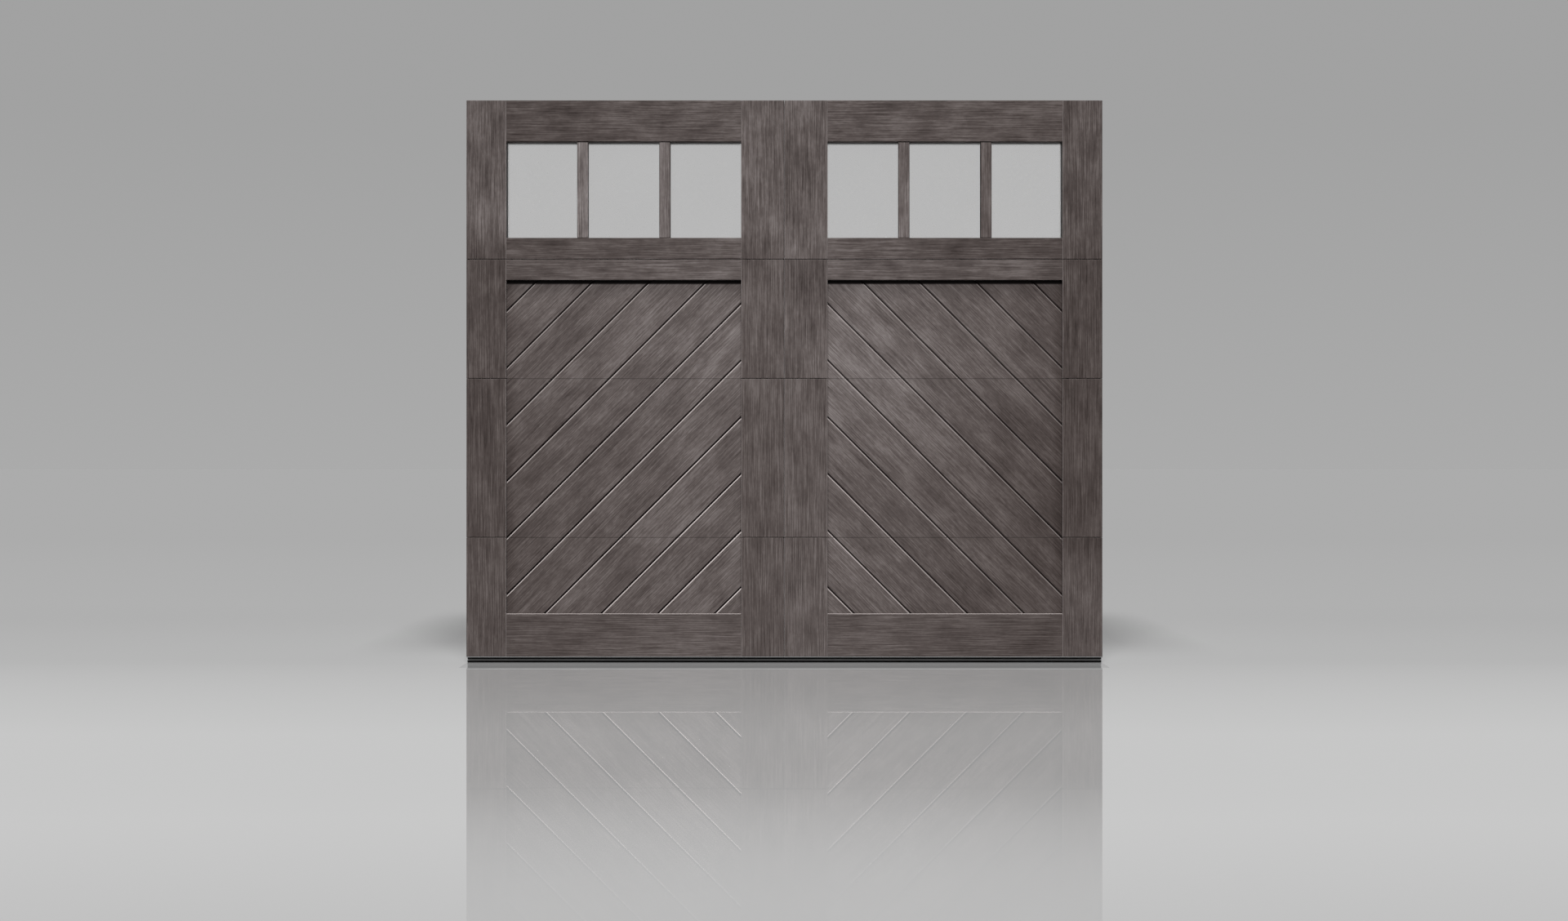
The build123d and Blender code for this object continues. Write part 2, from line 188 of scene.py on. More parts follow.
# Edges of boards: how much painted highlight or painted shade shows on their chamfers, and how far it
# reaches; and the dark joint in the door's middle
STILE_EDGE = 0.40
STILE_EDGE_REACH = 0.05
RAIL_TOP_EDGE = 0.85
RAIL_TOP_REACH = 0.05
BOARD_EDGE = 0.06
PLAIN_EDGE = 0.04
UNDER_EDGE_SHADE = 0.95
BAR_EDGE_SHADE = 0.8
JOINT_WIDTH = 0.004
JOINT_SOFT = 0.0004
JOINT_DARK = 0.8
# Facing of a chamfer, as parts of its normal: toward the front with a margin, and up or down
CHAMFER_FACING = 0.7
CHAMFER_MARGIN = 0.2
FACING_UP = (0.1, 0.7)
FACING_DOWN = (-0.25, -0.6)

# Plank grooves: bands across a groove, measured from its middle, of a painted highlight on the lower lip
# and a painted shade in the upper wall
LIP_HIGHLIGHT_BAND = (-0.0050, -0.0010)
GROOVE_SHADE_BAND = (-0.0013, 0.0058)
BAND_SOFT = 0.0006
# Where the painted highlight and the painted shade fade across the door and upward: from, to, and what is
# left
LIP_HIGHLIGHT_FADES_ACROSS = ((-0.25, -0.95, 0.72), (-0.1, 0.1, 0.6), (0.2, 0.95, 0.38))
LIP_HIGHLIGHT_FADE_UP = (0.4, 1.4, 0.62)
GROOVE_SHADE_LEFT, GROOVE_SHADE_RIGHT = 0.93, 0.76
GROOVE_SHADE_CHANGE = (-0.1, 0.1)
GROOVE_SHADE_FADE_ACROSS = (0.3, 1.0, 0.82)
GROOVE_SHADE_FADE_UP = (0.7, 1.4, 0.88)

# Planks under the mid rails: distances below the rail and strengths of the soft painted shade and the dark
# strip of painted shadow
RAIL_SHADE = (0.085, 0.012, 0.28)
RAIL_STRIP = (0.019, 0.011, 0.99)

# Other finishes: colours, roughness and the noise that varies them, and where a painted shade and a painted
# highlight lie
NOISE_RANGE = (0.3, 0.7)
WIDE_NOISE_RANGE = (0.2, 0.8)
SKIN_COLOURS = ((0.70, 0.70, 0.68), (0.76, 0.76, 0.745))
SKIN_ROUGHNESS = (0.5, 0.38)
SKIN_EMBOSSING = (160.0, 160.0, 700.0)
ZINC_COLOURS = ((0.40, 0.41, 0.42), (0.62, 0.63, 0.64))
ZINC_ROUGHNESS = (0.5, 0.34)
SPANGLE_SCALE = 140.0
ALUMINIUM_COLOURS = ((0.56, 0.565, 0.57), (0.72, 0.725, 0.73))
ALUMINIUM_ROUGHNESS = (0.42, 0.3)
DIE_LINES = (2.0, 900.0, 900.0)
RECESS_SHADE_GREY = 0.012
RECESS_SHADE_MOST = 0.92
RECESS_SHADE_BEHIND = (0.004, 0.012)
RECESS_SHADE_BELOW = (0.0011, 0.0017)
RUBBER_GREYS = (0.006, 0.016)
RUBBER_ROUGHNESS = (0.42, 0.6)
RUBBER_LINES = (3.0, 600.0, 600.0)
SEAL_HIGHLIGHT_GREY = 0.62
SEAL_HIGHLIGHT_AMOUNT = (0.85, 1.0)
SEAL_HIGHLIGHT_BAND = (0.0064, 0.0133)
SEAL_HIGHLIGHT_SOFT = 0.0009
PLASTIC_ROUGHNESS = (0.55, 0.42)
DARK_FRAME_GREYS = (0.010, 0.018)
WHITE_FRAME_COLOURS = ((0.70, 0.70, 0.68), (0.76, 0.76, 0.74))
GLASS_GREYS = (0.93, 0.97)
GLASS_ROUGHNESS = (0.26, 0.34)
GLASS_IOR = 1.3

# Ribs of the back skin, and the windows' trim that breaks them
RIB_REACH = 1.1385
RIB_SPACING = 0.0508
RIB_WIDTH = 0.009
RIB_HEIGHT = 0.0014
RIB_ROOT = 0.0005
RIB_FACETS = 6
TRIM_REACH_UP = 0.046
TRIM_REACH_ASIDE = 0.040
TRIM_LOW, TRIM_HIGH = WINDOW_SILL - TRIM_REACH_UP, WINDOW_HEAD + TRIM_REACH_UP
TRIM_INNER, TRIM_OUTER = FIELD_INNER - TRIM_REACH_ASIDE, FIELD_OUTER + TRIM_REACH_ASIDE
TRIM_BACK = 0.0334

# Fasteners: their places, and their forms as rings of radius and height
BACKWARD = (0, 1, 0)
PLATE_THICKNESS = 0.002
KNUCKLE_RADIUS = 0.0065
HINGE_HALF_WIDTH = 0.035
END_HINGE_X = 1.1792
HINGES = ((-END_HINGE_X, CAP_BACK), (0.0, CORE_BACK), (END_HINGE_X, CAP_BACK))
HINGE_SCREW_RISES = (-0.062, -0.040, 0.026, 0.060)
HINGE_SCREW_SIDE = 0.020
BRACKET_SCREW_HEIGHTS = (0.042, 0.064, 2.0656, 2.0856)
BRACKET_SCREW_SIDE = 0.024
TRIM_SCREW_MARGIN = 0.026
TRIM_SCREWS = 5
WASHER = ((0.0075, 0.0), (0.0075, 0.0008), (0.0066, 0.0014))
HEXAGON = ((0.0055, 0.0010), (0.0055, 0.0046), (0.0047, 0.0054))
PIN_DOME = ((0.0056, 0.0), (0.0056, 0.0008), (0.0046, 0.0019), (0.0025, 0.0025))
PAN_HEAD = ((0.0042, 0.0), (0.0042, 0.0006), (0.0034, 0.0016), (0.0016, 0.0021))
HEXAGON_SIDES = 6
PAN_HEAD_SIDES = 18
ROUND_SIDES = 20


class Shader:
    """The node tree of a material or a world, built one node at a time."""

    def __init__(self, owner, output="OutputMaterial"):
        owner.use_nodes = True
        self.owner = owner
        self.tree = owner.node_tree
        self.tree.nodes.clear()
        self.output = self.add(output)

    def add(self, kind, inputs=None, **settings):
        node = self.tree.nodes.new("ShaderNode" + kind)
        for key, value in settings.items():
            setattr(node, key, value)
        for key, value in (inputs or {}).items():
            self.feed(node.inputs[key], value)
        return node

    def feed(self, socket, value):
        """Links an output to a socket, or sets the socket to a number or a colour."""
        if isinstance(value, bpy.types.NodeSocket):
            self.tree.links.new(value, socket)
        elif isinstance(value, tuple) and socket.type == "RGBA":
            socket.default_value = (*value, 1.0)
        else:
            socket.default_value = value

    def place(self):
        return self.add("TexCoord").outputs["Object"]

    def axes(self, vector):
        return self.add("SeparateXYZ", {"Vector": vector}).outputs

    def scaled(self, vector, size):
        return self.add("VectorMath", {0: vector, 1: size}, operation="MULTIPLY").outputs[0]

    def math(self, operation, *values):
        return self.add("Math", dict(enumerate(values)), operation=operation).outputs[0]

    def product(self, first, *others):
        for other in others:
            first = self.math("MULTIPLY", first, other)
        return first

    def mix(self, factor, a, b, blend="MIX"):
        inputs = {"Factor_Float": factor, "A_Color": a, "B_Color": b}
        node = self.add("Mix", data_type="RGBA", blend_type=blend)
        for socket in node.inputs:
            if socket.identifier in inputs:
                self.feed(socket, inputs[socket.identifier])
        return next(socket for socket in node.outputs if socket.identifier == "Result_Color")

    def span(self, value, low, high, to_low=0.0, to_high=1.0):
        """Passes softly from one number to another while a value goes from low to high."""
        inputs = {"Value": value, "From Min": low, "From Max": high, "To Min": to_low, "To Max": to_high}
        return self.add("MapRange", inputs, interpolation_type="SMOOTHSTEP").outputs[0]

    def band(self, value, low, high, soft):
        """One between two bounds and nothing outside them, with soft ends."""
        return self.product(self.span(value, low, low + soft), self.span(value, high, high - soft))

    def noise(self, vector, scale=1.0, detail=2.0, roughness=0.5, seed=0.0):
        inputs = {"Vector": vector, "W": seed, "Scale": scale, "Detail": detail, "Roughness": roughness}
        return self.add("TexNoise", inputs, noise_dimensions="4D").outputs[0]

    def ramp(self, factor, stops):
        node = self.add("ValToRGB", {"Fac": factor})
        ramp = node.color_ramp
        while len(ramp.elements) < len(stops):
            ramp.elements.new(1.0)
        for element, (place, colour) in zip(ramp.elements, stops):
            element.position = place
            element.color = (*colour, 1.0)
        return node.outputs[0]

    def bump(self, height, strength, distance):
        inputs = {"Height": height, "Strength": strength, "Distance": distance}
        return self.add("Bump", inputs).outputs[0]

    def surface(self, **inputs):
        """Finishes a material with one surface of the named properties."""
        named = {key.replace("_", " "): value for key, value in inputs.items()}
        self.feed(self.output.inputs["Surface"], self.add("BsdfPrincipled", named).outputs[0])
        return self.owner

    def blend(self, factor, first, second):
        """Finishes with the first shader where the factor is nothing, and the second where it is one."""
        node = self.add("MixShader", {0: factor, 1: first.outputs[0], 2: second.outputs[0]})
        self.feed(self.output.inputs["Surface"], node.outputs[0])


def new_material(name):
    return Shader(bpy.data.materials.new(name))


def grey(value):
    return (value, value, value)


def dress(names, material):
    """Gives the named CAD nodes one material."""
    for name in names:
        mesh = nodes[name].data
        mesh.materials.clear()
        mesh.materials.append(material)


def across_planks(s, turned):
    """How far up a point lies across the planks, from the lowest groove."""
    start = (BOTTOM_RAIL_TOP + FIRST_GROOVE + FIELD_INNER) * math.cos(PLANK_ANGLE)
    return s.math("SUBTRACT", s.axes(turned)["Z"], start)


def board_number(s, place, turned, kind):
    """A number for each board, so that grain and tone change from one to the next."""
    if kind == "plank":
        return s.math("FLOOR", s.math("DIVIDE", across_planks(s, turned), PLANK_WIDTH))
    x = s.axes(place)["X"]
    side = s.math("MULTIPLY", s.math("SIGN", x), 2.0)
    if kind == "rail":
        return side
    return s.math("ADD", side, s.math("GREATER_THAN", s.math("ABSOLUTE", x), FIELD_MIDDLE))


def eased_edges(s, colour, place, kind):
    """Chamfers: painted highlight on stiles and on top of the bottom rails, painted shade underneath and on
    bars, and a dark joint in the door's middle.
    """
    normal = s.axes(s.add("NewGeometry").outputs["True Normal"])
    spot = s.axes(place)
    side, top, shut = BOARD_EDGE, PLAIN_EDGE, 0.0
    if kind == "stile":
        beside = s.math("LESS_THAN", s.math("ABSOLUTE", spot["X"]), FIELD_OUTER + STILE_EDGE_REACH)
        side = s.math("MULTIPLY_ADD", beside, STILE_EDGE - PLAIN_EDGE, PLAIN_EDGE)
    elif kind == "rail":
        heights = (BOTTOM_RAIL_TOP, BOTTOM_RAIL_TOP + RAIL_TOP_REACH)
        top = s.span(spot["Z"], *heights, RAIL_TOP_EDGE, PLAIN_EDGE)
    else:
        shut = BAR_EDGE_SHADE
    turn = s.math("ABSOLUTE", s.math("ADD", normal["Y"], CHAMFER_FACING))
    slanted = s.math("LESS_THAN", turn, CHAMFER_MARGIN)
    # Painted highlight on chamfers that face up, painted shade on those that face down, and the dark joint
    # in the door's middle
    edge_highlight = s.product(slanted, s.span(normal["Z"], *FACING_UP, side, top))
    edge_shade = s.product(slanted, s.span(normal["Z"], *FACING_DOWN, shut, UNDER_EDGE_SHADE))
    joint = s.product(slanted, s.band(spot["X"], -JOINT_WIDTH, 0.0, JOINT_SOFT), JOINT_DARK)
    colour = s.mix(edge_highlight, colour, EDGE_HIGHLIGHT)
    colour = s.mix(edge_shade, colour, SHADE_AND_JOINT_DARK)
    return s.mix(joint, colour, SHADE_AND_JOINT_DARK)


def faded(s, value, fade):
    """One, which fades to what is left while a value goes from one bound to the other."""
    start, end, left = fade
    return s.span(value, start, end, 1.0, left)


def grooves(s, colour, place, turned):
    """Plank grooves: a painted shade in the upper wall, and a painted highlight on the lower lip."""
    half = PLANK_WIDTH / 2
    away = s.math("WRAP", across_planks(s, turned), half, -half)
    spot = s.axes(place)
    # Painted highlight on the lower lip, and painted shade in the upper wall
    lip_highlight = s.product(
        s.band(away, *LIP_HIGHLIGHT_BAND, BAND_SOFT), faded(s, spot["Z"], LIP_HIGHLIGHT_FADE_UP),
        *[faded(s, spot["X"], fade) for fade in LIP_HIGHLIGHT_FADES_ACROSS],
    )
    groove_shade = s.product(
        s.band(away, *GROOVE_SHADE_BAND, BAND_SOFT), s.span(spot["X"], *GROOVE_SHADE_CHANGE, GROOVE_SHADE_LEFT, GROOVE_SHADE_RIGHT),
        faded(s, spot["X"], GROOVE_SHADE_FADE_ACROSS), faded(s, spot["Z"], GROOVE_SHADE_FADE_UP),
    )
    return s.mix(groove_shade, s.mix(lip_highlight, colour, EDGE_HIGHLIGHT), SHADE_AND_JOINT_DARK)


def under_rail(s, colour, place):
    """A painted shadow on the planks tight under the mid rail, a dark strip, with a soft painted shade
    below it.
    """
    height = s.axes(place)["Z"]
    shades = []
    for start, end, most in (RAIL_SHADE, RAIL_STRIP):
        shades.append(s.span(height, MID_RAIL_FOOT - start, MID_RAIL_FOOT - end, 0.0, most))
    return s.mix(s.math("MAXIMUM", *shades), colour, SHADE_AND_JOINT_DARK)


def stile_shade(s, place, tones):
    """A tone for each of the four stiles, which changes softly from one section to the next."""
    spot = s.axes(place)
    shade = 0.0
    edges = (-math.inf, -FIELD_MIDDLE, 0.0, FIELD_MIDDLE, math.inf)
    for column, left, right in zip(tones, edges[:-1], edges[1:]):
        tone = column[0]
        for rise, before, after in zip(STILE_RISES, column[:-1], column[1:]):
            tone = s.math("ADD", tone, s.span(spot["Z"], *rise, 0.0, after - before))
        if left > -math.inf:
            tone = s.product(tone, s.math("GREATER_THAN", spot["X"], left))
        if right < math.inf:
            tone = s.product(tone, s.math("LESS_THAN", spot["X"], right))
        shade = s.math("ADD", shade, tone)
    return shade


def faded_shade(s, place, tones):
    """A tone in the middle of the door that changes to its left and right edge; darkening toward an edge is
    partly painted light falloff.
    """
    middle, left, right = tones
    start, end = TONE_FADE
    x = s.axes(place)["X"]
    return s.product(s.span(x, -end, -start, left, 1.0), s.span(x, start, end, 1.0, right), middle)


def plank_shade(s, place, tones):
    """Planks are lighter high up, partly painted light, and darker along the stiles beside them, a painted
    shade.
    """
    low, high, left, right = tones
    spot = s.axes(place)
    reach = s.math("ABSOLUTE", spot["X"])
    return s.product(
        faded_shade(s, place, (s.span(spot["Z"], *PLANK_RISE, low, high), left, right)),
        s.span(reach, FIELD_OUTER - OUTER_SHADE_WIDTH, FIELD_OUTER, 1.0, OUTER_SHADE_TONE),
        s.span(reach, FIELD_INNER, FIELD_INNER + INNER_SHADE_WIDTH, INNER_SHADE_TONE, 1.0),
    )


SHADES = {"stile": stile_shade, "rail": faded_shade, "bar": faded_shade, "plank": plank_shade}


def toned(s, colour, shade):
    """A colour made lighter or darker by a tone."""
    channels = {k: s.math("POWER", shade, power) for k, power in enumerate(TONE_POWERS)}
    return s.mix(1.0, colour, s.add("CombineColor", channels).outputs[0], "MULTIPLY")


def grain(s, place, turned, kind, seed):
    """How light the stain is at a point, and how high its grain stands."""
    number = s.math("MULTIPLY_ADD", board_number(s, place, turned, kind), BOARD_STEP, seed)
    board = s.add("TexWhiteNoise", {"W": number}, noise_dimensions="1D").outputs["Value"]
    wave = s.product(s.noise(place, GRAIN_WAVE_SCALE, seed=seed), GRAIN_WAVE)
    along, across = s.product(board, BOARD_SHIFT), s.math("ADD", number, wave)
    shift = s.add("CombineXYZ", {"X": along, "Z": across}).outputs[0]
    local = s.add("VectorMath", {0: turned, 1: shift}, operation="ADD").outputs[0]

    contrast = s.span(s.axes(place)["Z"], LEVELS[0], LEVELS[-1], *MOTTLE_CONTRAST)
    value = s.math("MULTIPLY_ADD", board, BOARD_VARIETY, BOARD_STAIN)
    layers = []
    for step, (length, width, detail, on_plank, on_board) in enumerate(GRAIN):
        weight = on_plank if kind == "plank" else on_board
        size = (1 / length, 1 / width, 1 / width)
        layer = s.noise(s.scaled(local, size), 1.0, detail, GRAIN_ROUGHNESS, seed + step)
        streak = s.math("MULTIPLY_ADD", layer, weight, -weight / 2)
        if width > MOTTLE_WIDTH and kind != "plank":
            streak = s.product(streak, contrast)
        value = s.math("ADD", value, streak)
        layers.append(layer)
    relief = s.math("ADD", *[s.product(layer, weight) for layer, weight in zip(layers, RELIEF_WEIGHTS)])
    return value, relief


def stained_wood(name, kind, angle, seed, tones):
    """Stained composite with straight grain at an angle to level, in boards of one kind."""
    s = new_material(name)
    place = s.place()
    turned = s.add("VectorRotate", {"Vector": place, "Angle": angle}, rotation_type="Y_AXIS").outputs[0]
    value, relief = grain(s, place, turned, kind, seed)
    colour = s.ramp(value, [(0.0, STAIN_DARK), (0.5, STAIN_MID), (1.0, STAIN_LIGHT)])
    colour = toned(s, colour, SHADES[kind](s, place, tones))
    if kind == "plank":
        colour = under_rail(s, grooves(s, colour, place, turned), place)
    else:
        colour = eased_edges(s, colour, place, kind)
    return s.surface(
        Base_Color=colour, Roughness=s.span(value, *WIDE_NOISE_RANGE, *WOOD_ROUGHNESS),
        Specular_IOR_Level=WOOD_SPECULAR, Normal=s.bump(relief, strength=0.3, distance=0.0006),
    )


def steel_skin():
    """White painted steel with a fine embossed grain."""
    s = new_material("white_steel_skin")
    place = s.place()
    emboss = s.noise(s.scaled(place, SKIN_EMBOSSING), detail=3.0, roughness=0.6)
    return s.surface(
        Base_Color=s.mix(s.noise(place, scale=3.0), *SKIN_COLOURS),
        Roughness=s.span(emboss, *NOISE_RANGE, *SKIN_ROUGHNESS),
        Normal=s.bump(emboss, strength=0.3, distance=0.0006),
    )


def galvanised_steel():
    """Zinc-coated steel with spangles."""
    s = new_material("galvanised_steel")
    place = s.place()
    cells = s.add("TexVoronoi", {"Vector": place, "Scale": SPANGLE_SCALE})
    spangle = s.add("SeparateColor", {"Color": cells.outputs["Color"]}).outputs[0]
    cloud = s.noise(place, scale=60.0, detail=3.0, roughness=0.6)
    value = s.product(s.math("ADD", spangle, cloud), 0.5)
    return s.surface(
        Base_Color=s.mix(value, *ZINC_COLOURS), Metallic=0.9,
        Roughness=s.span(value, *WIDE_NOISE_RANGE, *ZINC_ROUGHNESS),
        Normal=s.bump(cloud, strength=0.1, distance=0.0004),
    )


def mill_aluminium():
    """Extruded aluminium with die lines along its length, with a painted shade behind and below its front
    lip.
    """
    s = new_material("mill_aluminium")
    place = s.place()
    spot = s.axes(place)
    die = s.noise(s.scaled(place, DIE_LINES))
    # Painted shade behind and below the front lip, where the aluminium lies in shade
    behind = s.span(spot["Y"], *[FRONT_FACE + depth for depth in RECESS_SHADE_BEHIND])
    below = s.span(spot["Z"], *[SECTION_FOOT - drop for drop in RECESS_SHADE_BELOW])
    recess_shade = s.product(s.math("MAXIMUM", behind, below), RECESS_SHADE_MOST)
    return s.surface(
        Base_Color=s.mix(recess_shade, s.mix(die, *ALUMINIUM_COLOURS), grey(RECESS_SHADE_GREY)), Metallic=0.85,
        Roughness=s.span(die, *NOISE_RANGE, *ALUMINIUM_ROUGHNESS),
        Normal=s.bump(die, strength=0.15, distance=0.0003),
    )


def black_rubber():
    """Weathered black rubber with faint extrusion lines, and a painted highlight on the upper half of its
    bulge.
    """
    s = new_material("black_rubber")
    place = s.place()
    drawn = s.noise(s.scaled(place, RUBBER_LINES))
    mottle = s.noise(place, scale=25.0, detail=4.0, roughness=0.65)
    # Painted highlight on the upper half of the bulge, varied by the mottle
    stripe = s.band(s.axes(place)["Z"], *SEAL_HIGHLIGHT_BAND, SEAL_HIGHLIGHT_SOFT)
    seal_highlight = s.product(stripe, s.span(mottle, *WIDE_NOISE_RANGE, *SEAL_HIGHLIGHT_AMOUNT))
    rubber = s.mix(mottle, *map(grey, RUBBER_GREYS))
    return s.surface(
        Base_Color=s.mix(seal_highlight, rubber, grey(SEAL_HIGHLIGHT_GREY)),
        Roughness=s.span(mottle, *NOISE_RANGE, *RUBBER_ROUGHNESS), Specular_IOR_Level=0.25,
        Normal=s.bump(drawn, strength=0.2, distance=0.0005),
    )


def moulded_plastic(name, low, high):
    """Moulded plastic with a faint grain."""
    s = new_material(name)
    place = s.place()
    fine = s.noise(place, scale=900.0)
    return s.surface(
        Base_Color=s.mix(s.noise(place, scale=4.0), low, high),
        Roughness=s.span(fine, *NOISE_RANGE, *PLASTIC_ROUGHNESS),
        Normal=s.bump(fine, strength=0.12, distance=0.0003),
    )


def frosted_glass():
    """Obscure glass: even, milky, with a fine pebble on its face."""
    s = new_material("obscure_glass")
    place = s.place()
    pebble = s.noise(place, scale=420.0)
    return s.surface(
        Base_Color=s.mix(s.noise(place, scale=5.0), *map(grey, GLASS_GREYS)),
        Roughness=s.span(pebble, *NOISE_RANGE, *GLASS_ROUGHNESS), Transmission_Weight=1.0, IOR=GLASS_IOR,
        Normal=s.bump(pebble, strength=0.15, distance=0.0008),
    )


def joined(name, verts, faces, material, slot):
    """One mesh piece from gathered vertices and faces, riding on the door."""
    mesh = bpy.data.meshes.new(name)
    mesh.from_pydata(verts, [], faces)
    mesh.validate()
    mesh.materials.append(material)
    piece = bpy.data.objects.new(name, mesh)
    bpy.context.scene.collection.objects.link(piece)
    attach(piece, "root")


def lathe(rings, turns):
    """Vertices and faces of a turned form: rings of radius and height, closed at both ends."""
    verts, faces = [], []
    for radius, height in rings:
        for k in range(turns):
            angle = 2 * math.pi * k / turns
            verts.append(Vector((radius * math.cos(angle), radius * math.sin(angle), height)))
    for ring in range(len(rings) - 1):
        for k in range(turns):
            a, b = ring * turns + k, ring * turns + (k + 1) % turns
            faces.append((a, b, b + turns, a + turns))
    faces.append(tuple(range((len(rings) - 1) * turns, len(rings) * turns)))
    faces.append(tuple(reversed(range(turns))))
    return verts, faces


def repeat(forms, places):
    """Copies of forms at places, each a point and the direction that the form stands along."""
    verts, faces = [], []
    for point, direction in places:
        turn = Vector(direction).to_track_quat("Z", "Y").to_matrix()
        for form_verts, form_faces in forms:
            base = len(verts)
            verts += [Vector(point) + turn @ v for v in form_verts]
            faces += [tuple(base + i for i in face) for face in form_faces]
    return verts, faces


def screw_places():
    """Where hinge leaves and corner brackets are screwed on: points on the plates' backs."""
    rows = []
    for seam in SEAMS:
        for x, back in HINGES:
            rows += [(x, back, seam + rise, HINGE_SCREW_SIDE) for rise in HINGE_SCREW_RISES]
    for x in (-END_HINGE_X, END_HINGE_X):
        rows += [(x, CAP_BACK, height, BRACKET_SCREW_SIDE) for height in BRACKET_SCREW_HEIGHTS]
    places = []
    for x, back, z, aside in rows:
        places += [((x + dx, back + PLATE_THICKNESS, z), BACKWARD) for dx in (-aside, aside)]
    return places


def pin_places():
    """The outer ends of the hinge pins."""
    places = []
    for seam in SEAMS:
        for x, back in HINGES:
            for side in (-1, 1):
                point = (x + side * HINGE_HALF_WIDTH, back + KNUCKLE_RADIUS, seam)
                places.append((point, (side, 0, 0)))
    return places


def trim_screw_places():
    """Screws round the inside trim of both windows."""
    places = []
    low, high = WINDOW_SILL - TRIM_SCREW_MARGIN, WINDOW_HEAD + TRIM_SCREW_MARGIN
    inner, outer = FIELD_INNER - TRIM_SCREW_MARGIN, FIELD_OUTER + TRIM_SCREW_MARGIN
    for side in (-1, 1):
        for k in range(TRIM_SCREWS):
            x = inner + (outer - inner) * k / (TRIM_SCREWS - 1)
            places += [((side * x, TRIM_BACK, z), BACKWARD) for z in (low, high)]
        for x in (inner, outer):
            places.append(((side * x, TRIM_BACK, (low + high) / 2), BACKWARD))
    return places


def fasteners(zinc, white):
    """Screw heads and pin heads on the back."""
    screw = [lathe(WASHER, ROUND_SIDES), lathe(HEXAGON, HEXAGON_SIDES)]
    joined("hinge_screws", *repeat(screw, screw_places()), zinc, "galvanised_steel")
    dome = lathe(PIN_DOME, ROUND_SIDES)
    joined("hinge_pin_heads", *repeat([dome], pin_places()), zinc, "galvanised_steel")
    pan = lathe(PAN_HEAD, PAN_HEAD_SIDES)
    joined("trim_screws", *repeat([pan], trim_screw_places()), white, "white_frame")


def rib_places():
    """Height, left end and right end of each rib."""
    places = []
    for low, high in zip(LEVELS[:-1], LEVELS[1:]):
        count = round((high - low) / RIB_SPACING)
        for k in range(1, count):
            z = low + (high - low) * k / count
            edges = [-RIB_REACH, RIB_REACH]
            if TRIM_LOW < z < TRIM_HIGH:
                edges = [-RIB_REACH, -TRIM_OUTER, -TRIM_INNER, TRIM_INNER, TRIM_OUTER, RIB_REACH]
            places += [(z, x0, x1) for x0, x1 in zip(edges[::2], edges[1::2])]
    return places


def skin_ribs(skin):
    """Shallow level ribs pressed into the back skin, broken by the windows' trim."""
    half, root = RIB_WIDTH / 2, CORE_BACK - RIB_ROOT
    arc = [math.pi * k / RIB_FACETS for k in range(RIB_FACETS + 1)]
    profile = [(CORE_BACK + RIB_HEIGHT * math.sin(a), half * math.cos(a)) for a in arc]
    profile = [(root, half), *profile, (root, -half)]
    count = len(profile)
    verts, faces = [], []
    for z, x0, x1 in rib_places():
        base = len(verts)
        verts += [Vector((x, y, z + dz)) for x in (x0, x1) for y, dz in profile]
        for k in range(count):
            following = (k + 1) % count
            faces.append((base + k, base + following, base + count + following, base + count + k))
        faces.append(tuple(base + count + k for k in range(count)))
        faces.append(tuple(base + k for k in reversed(range(count))))
    joined("back_skin_ribs", verts, faces, skin, "white_steel_skin")


def boards():
    """Stains the boards on the front."""
    level, upright = 0.0, math.pi / 2
    for k, section in enumerate(SECTIONS):
        node = f"{section}_section_stiles"
        dress([node], stained_wood(node, "stile", upright, STILE_SEED + k, STILE_TONES))
    for k, (rail, tones) in enumerate(RAIL_TONES.items()):
        node = f"{rail}_rails"
        dress([node], stained_wood(node, "rail", level, RAIL_SEED + k, tones))
    for side, sign in (("left", -1), ("right", 1)):
        angle, seed = -sign * PLANK_ANGLE, PLANK_SEED + sign
        wood = stained_wood(f"{side}_planks", "plank", angle, seed, PLANK_TONES[side])
        dress([f"{section}_{side}_chevron_panel" for section in SECTIONS[:3]], wood)
    for k, (side, tones) in enumerate(MUNTIN_TONES.items()):
        node = f"{side}_window_muntins"
        dress([node], stained_wood(node, "bar", upright, BAR_SEED + k, tones))


def steel_and_windows():
    """Finishes everything but the boards, and adds the ribs and the small fasteners of the back."""
    zinc = galvanised_steel()
    skin = steel_skin()
    skin_ribs(skin)
    dress([f"{section}_section_core" for section in SECTIONS], skin)
    dress([f"{section}_section_end_caps" for section in SECTIONS], zinc)
    dress([f"{section}_section_hinge_leaves" for section in SECTIONS], zinc)
    dress(["top_roller_brackets", "bottom_roller_brackets"], zinc)
    dress(["bottom_retainer"], mill_aluminium())
    dress(["bottom_seal"], black_rubber())
    dark = moulded_plastic("dark_frame", *map(grey, DARK_FRAME_GREYS))
    white = moulded_plastic("white_frame", *WHITE_FRAME_COLOURS)
    glass = frosted_glass()
    for side in ("left", "right"):
        dress([f"{side}_window_frame"], dark)
        dress([f"{side}_window_inner_frame"], white)
        dress([f"{side}_window_glass"], glass)
    fasteners(zinc, white)


def contact_shade(s, place):
    """Shade on the floor: soft behind the door and a little wider than it, and close before its foot."""
    spot = s.axes(place)
    reach = s.math("ABSOLUTE", spot["X"])
    beside = s.product(s.math("SUBTRACT", DOOR_EDGE + SHADE_OVERHANG, reach), SHADE_SLOPE)
    across = s.math("MINIMUM", s.math("MAXIMUM", beside, 0.0), SHADE_MOST)
    behind = s.product(across, s.span(spot["Y"], *SHADE_RISE), s.span(spot["Y"], *SHADE_FALL, 1.0, 0.0))
    strip = s.band(spot["Y"], FRONT_FACE - FOOT_SHADE_DEPTH, 0.0, FOOT_SHADE_SOFT)
    close = s.product(strip, s.math("LESS_THAN", reach, DOOR_EDGE), FOOT_SHADE)
    return s.math("MAXIMUM", behind, close)


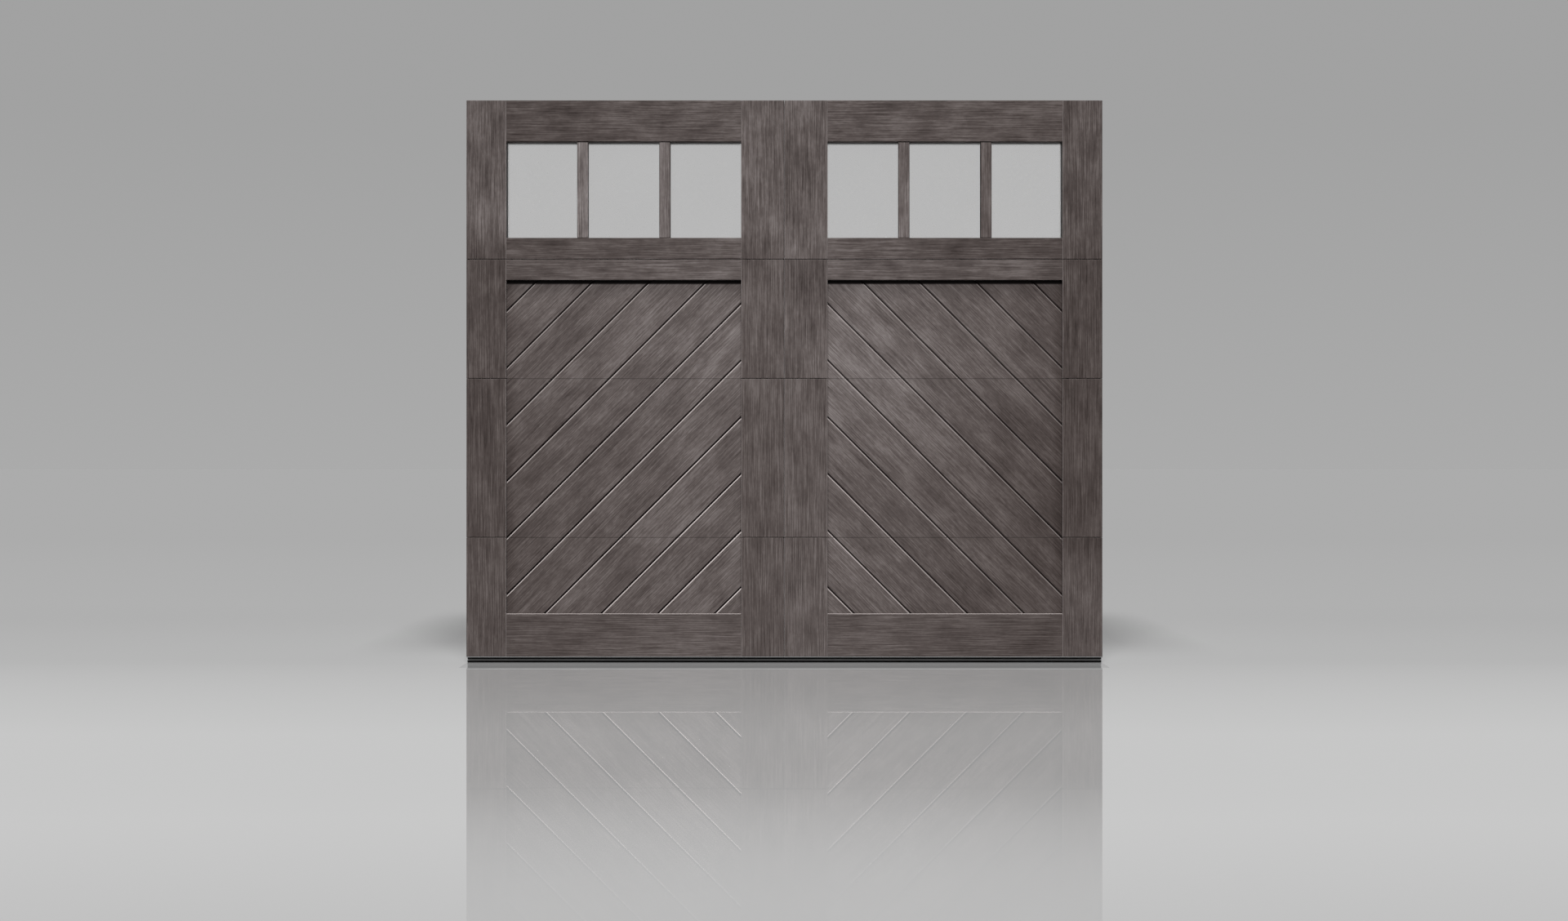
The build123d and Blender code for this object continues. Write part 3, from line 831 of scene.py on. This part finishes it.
def floor_material():
    """Pale and polished, with its tone and polish set by depth."""
    s = new_material("studio_floor")
    place = s.place()
    depth = s.axes(place)["Y"]
    first, last = FLOOR_GREYS[0][0], FLOOR_GREYS[-1][0]
    share = s.add("MapRange", {"Value": depth, "From Min": first, "From Max": last}).outputs[0]
    tone = s.ramp(share, [((at - first) / (last - first), grey(value)) for at, value in FLOOR_GREYS])
    tone = s.mix(contact_shade(s, place), tone, grey(0.0))
    bounced = s.add("LightPath").outputs["Is Diffuse Ray"]
    tone = s.mix(s.product(bounced, FLOOR_BOUNCE_LOSS), tone, grey(0.0))
    diffuse = s.add("BsdfDiffuse", {"Color": tone})
    mirror = s.add("BsdfGlossy", {"Color": grey(1.0), "Roughness": 0.0})
    polish = s.product(
        s.span(depth, *POLISH_RISE, FAR_POLISH, NEAR_POLISH), s.span(depth, *POLISH_FALL, 1.0, 0.0),
    )
    s.blend(polish, diffuse, mirror)
    return s.owner


def floor():
    """A pale polished floor that runs to the horizon."""
    ends = (-FLOOR_REACH, FLOOR_REACH)
    mesh = bpy.data.meshes.new("studio_floor")
    mesh.from_pydata([(x, y, 0) for y in ends for x in ends], [], [(0, 1, 3, 2)])
    mesh.materials.append(floor_material())
    ground = bpy.data.objects.new("studio_floor", mesh)
    bpy.context.scene.collection.objects.link(ground)
    return ground


def world():
    """Even fill light, and a grey backdrop for what the camera, gloss and glass see."""
    studio = bpy.data.worlds.new("studio")
    s = Shader(studio, "OutputWorld")
    height = s.axes(s.add("TexCoord").outputs["Generated"])["Z"]
    wall = s.ramp(height, [(at, grey(value)) for at, value in BACKDROP_GREYS])
    rays = s.add("LightPath").outputs
    in_gloss, in_glass = rays["Is Glossy Ray"], rays["Is Transmission Ray"]
    lift = s.span(in_gloss, 0.0, 1.0, 1.0, BACKDROP_IN_GLOSS)
    lift = s.math("MULTIPLY_ADD", in_glass, s.math("SUBTRACT", BACKDROP_IN_GLASS, lift), lift)
    seen = s.math("MAXIMUM", s.math("MAXIMUM", rays["Is Camera Ray"], in_gloss), in_glass)
    fill = s.add("Background", {"Color": grey(1.0), "Strength": FILL_STRENGTH})
    backdrop = s.add("Background", {"Color": wall, "Strength": lift})
    s.blend(seen, fill, backdrop)
    bpy.context.scene.world = studio


def sun(name, strength, spread, turn, lit):
    """A soft distant light that falls on one group of pieces."""
    lamp = bpy.data.lights.new(name, "SUN")
    lamp.energy = strength
    lamp.angle = math.radians(spread)
    light = bpy.data.objects.new(name, lamp)
    light.rotation_euler = [math.radians(angle) for angle in turn]
    light.light_linking.receiver_collection = bpy.data.collections.new(f"{name}_receivers")
    for piece in lit:
        light.light_linking.receiver_collection.objects.link(piece)
    bpy.context.scene.collection.objects.link(light)
    return light


def lights(ground):
    """A key from above the camera, with no glare in floor or glass, and two weak lights behind the door."""
    meshes = [piece for piece in bpy.context.scene.objects if piece.type == "MESH"]
    door = [piece for piece in meshes if piece != ground]
    opaque = [piece for piece in door if not piece.name.endswith("_glass")]
    turn = (90.0 - KEY_ELEVATION, 0.0, 0.0)
    sun("key", KEY_STRENGTH, KEY_SPREAD, turn, door).visible_transmission = False
    sun("floor_key", KEY_STRENGTH, KEY_SPREAD, turn, [ground]).visible_glossy = False
    for name, side in (("rear_left", -1), ("rear_right", 1)):
        turn = (REAR_ELEVATION - 90.0, 0.0, side * REAR_SIDE)
        sun(name, REAR_STRENGTH, REAR_SPREAD, turn, opaque).visible_glossy = False


def camera():
    """A level camera straight in front of the door."""
    data = bpy.data.cameras.new("camera")
    data.sensor_width = SENSOR_WIDTH
    data.lens = SENSOR_WIDTH * CAMERA_DISTANCE / VIEW_WIDTH
    data.clip_end = CAMERA_REACH
    eye = bpy.data.objects.new("camera", data)
    eye.location = (CAMERA_SIDE, FRONT_FACE - CAMERA_DISTANCE, CAMERA_HEIGHT)
    eye.rotation_euler = (math.pi / 2, 0.0, 0.0)
    bpy.context.scene.collection.objects.link(eye)
    bpy.context.scene.camera = eye


bpy.context.scene.view_settings.view_transform = "Standard"
boards()
steel_and_windows()
ground = floor()
world()
lights(ground)
camera()
